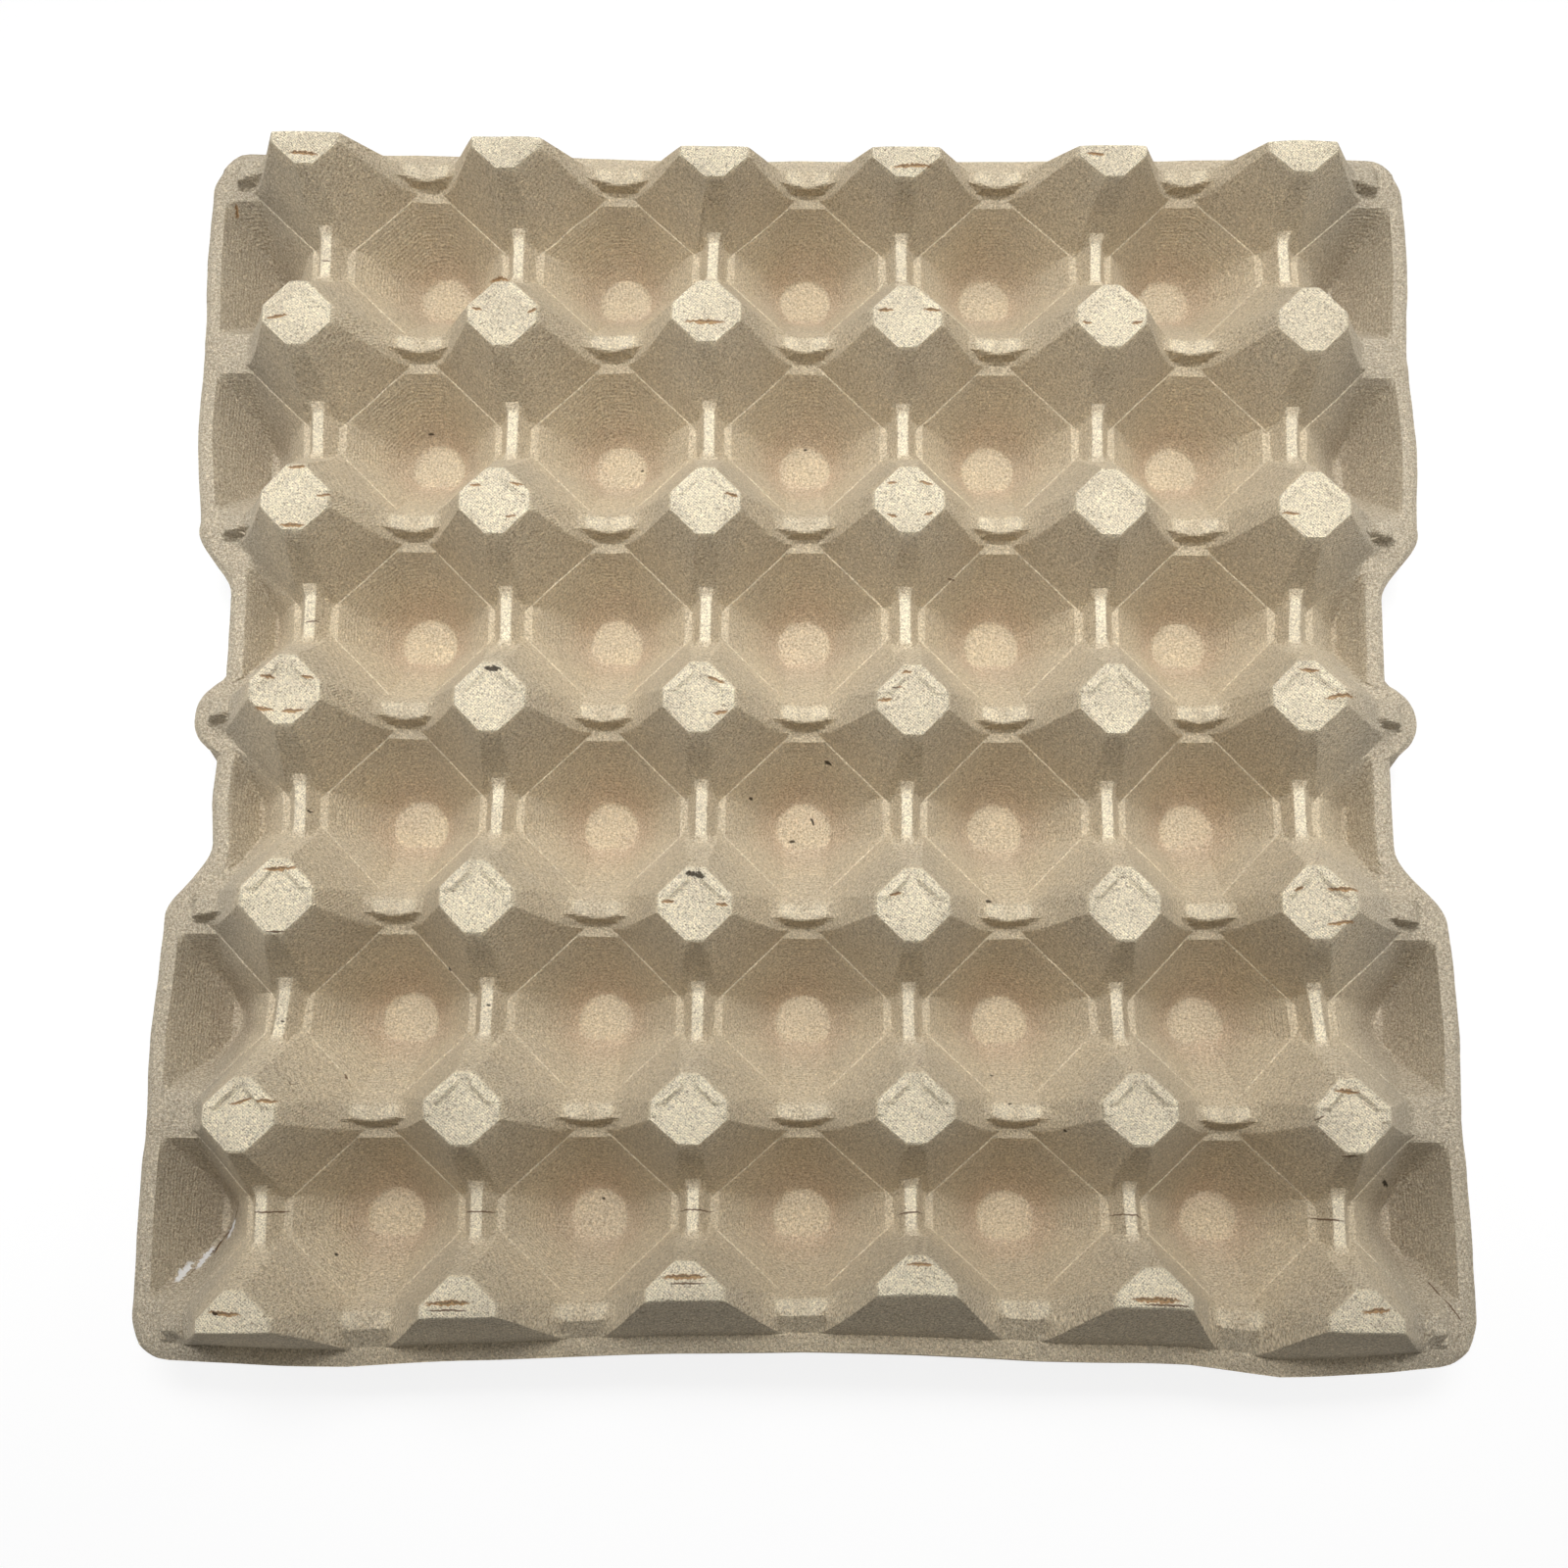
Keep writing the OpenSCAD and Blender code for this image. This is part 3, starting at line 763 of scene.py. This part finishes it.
# %% [markdown]
# ## The marks' colour and the relief
# A crack is dark, a slit shows the brown pulp inside with a dark line in it, and a spot is nearly black. A
# hole isn't cut through: it is painted as white as the ground that shows through it on the real tray. A slow
# noise makes the marks' sides wander. The relief is a bump from the patterns, too fine for the mesh.

# %% Marks and relief
CRACK_INK, SPOT_INK, HOLE_INK = (0.15, 0.09, 0.05, 1), (0.03, 0.02, 0.012, 1), (0.95, 0.95, 0.95, 1)
SLIT_INK, SLIT_CORE = (0.44, 0.25, 0.11, 1), (0.12, 0.07, 0.03, 1)
wobble = spot.noise(1.1, 2) - 0.5
for name in LAYERS:
    along, across, kind = make.attribute(name, "Vector").parts()
    across = across + wobble * 2.4
    inside = (along * along + across * across).ramp(1.0, 0.45) * kind.ramp(0.5, 0.9)
    core = (along * along + (across - 0.25) * (across - 0.25) * 6.0).ramp(1.0, 0.5)
    ink = kind.ramp(1.45, 1.55).mix(CRACK_INK, (core * 0.8).mix(SLIT_INK, SLIT_CORE))
    ink = kind.ramp(2.45, 2.55).mix(ink, SPOT_INK)
    ink = kind.ramp(3.45, 3.55).mix(ink, HOLE_INK)
    colour = (inside * 0.9).mix(colour, ink)
tree.links.new(colour.socket, shader.inputs["Base Color"])
shader.inputs["Roughness"].default_value = 0.95
shader.inputs["Specular IOR Level"].default_value = 0.15
relief = grain * 1.2 + grit * 0.4 + spot.noise(0.4, 1, 0.6) * 0.8 - weave * upper_part * 0.2 + rings * 0.10
bump = make.node("Bump", None, {"Height": relief, "Strength": 0.8, "Distance": 0.0005})
tree.links.new(bump.socket, shader.inputs["Normal"])
mesh.materials.append(material)
print(len(tree.nodes), "nodes in the pulp material")

# %% [markdown]
# ## World and floor
# The photo shows the tray on plain white. The floor is a large white sheet: the camera sees it mostly as a
# white light of its own, so that it stays white to the picture's edge, and a fifth as lit paper, so that it
# still takes the tray's shadow.

# %% The floor
AMBIENT, WHITE_STRENGTH, WHITE_SHARE, FLOOR_HALF = 0.175, 1.06, 0.8, 4
scene = bpy.context.scene
scene.view_settings.view_transform = "Standard"
world = bpy.data.worlds.new("studio")
world.use_nodes = True
world.node_tree.nodes["Background"].inputs["Color"].default_value = (1, 1, 1, 1)
world.node_tree.nodes["Background"].inputs["Strength"].default_value = AMBIENT
scene.world = world
floor_mesh = bpy.data.meshes.new("floor")
corners = [(a * FLOOR_HALF, b * FLOOR_HALF, 0) for a, b in ((-1, -1), (1, -1), (1, 1), (-1, 1))]
floor_mesh.from_pydata(corners, [], [(0, 1, 2, 3)])
floor = bpy.data.objects.new("floor", floor_mesh)
scene.collection.objects.link(floor)
paper = bpy.data.materials.new("floor")
paper.use_nodes = True
lit_paper = Shade(paper.node_tree, paper.node_tree.nodes["Principled BSDF"].outputs[0])
lit_paper.socket.node.inputs["Base Color"].default_value = (0.9, 0.9, 0.9, 1)
lit_paper.socket.node.inputs["Roughness"].default_value = 1
white = lit_paper.node("Emission", None, {"Color": (1, 1, 1, 1), "Strength": WHITE_STRENGTH})
rays = [lit_paper.node("LightPath", None, None, f"Is {name} Ray")
        for name in ("Camera", "Glossy", "Transmission")]
seen = rays[0].math("MAXIMUM", rays[1]).math("MAXIMUM", rays[2])
both = lit_paper.node("MixShader", None, {0: seen * WHITE_SHARE, 1: lit_paper, 2: white})
paper.node_tree.links.new(both.socket, paper.node_tree.nodes["Material Output"].inputs["Surface"])
floor_mesh.materials.append(paper)
print("floor of", len(floor_mesh.polygons), "face")

# %% [markdown]
# ## Light
# The photo's light comes softly from above and a little behind, and is brightest over the middle rows. One
# area light with a narrow spread gives the bright middle, and two wide ones light the posts from both sides.

# %% The lights
def soft_light(name, place, aim, size, watts, spread):
    """An area light `size` wide and deep at `place`, facing `aim`, in metres, its beam `spread` degrees
    wide."""
    lamp = bpy.data.lights.new(name, "AREA")
    lamp.shape, lamp.size, lamp.size_y, lamp.energy = "RECTANGLE", size[0], size[1], watts
    lamp.spread = np.radians(spread)
    holder = bpy.data.objects.new(name, lamp)
    holder.location = place
    holder.rotation_euler = (Vector(aim) - Vector(place)).to_track_quat("-Z", "Y").to_euler()
    holder.visible_camera = False
    scene.collection.objects.link(holder)


soft_light("window", (0, 0.30, 0.80), (0, 0.03, 0), (0.7, 0.3), 0.83, 44)
soft_light("left", (-1.0, 0.26, 0.7), (0, 0.05, 0), (0.5, 0.8), 2.8, 180)
soft_light("right", (1.0, 0.26, 0.7), (0, 0.05, 0), (0.5, 0.8), 2.8, 180)

# %% [markdown]
# ## The camera
# The camera stands where the photo's camera stood: over the front rows, tilted a little from straight down.
# Its place and turn were fitted to the grid of posts in the photo, at the pitch that the sizes above give.

# %% The camera
lens = bpy.data.cameras.new("camera")
lens.sensor_width, lens.lens = 36.0, 40.2
camera = bpy.data.objects.new("camera", lens)
camera.location = (-0.0024, -0.1056, 0.4299)
camera.rotation_euler = np.radians((12.36, 0.26, 0.31))
lens.clip_start = 0.01
scene.collection.objects.link(camera)
scene.camera = camera
print(f"lens {lens.lens:.1f} mm, {camera.location.length:.3f} m from the origin")
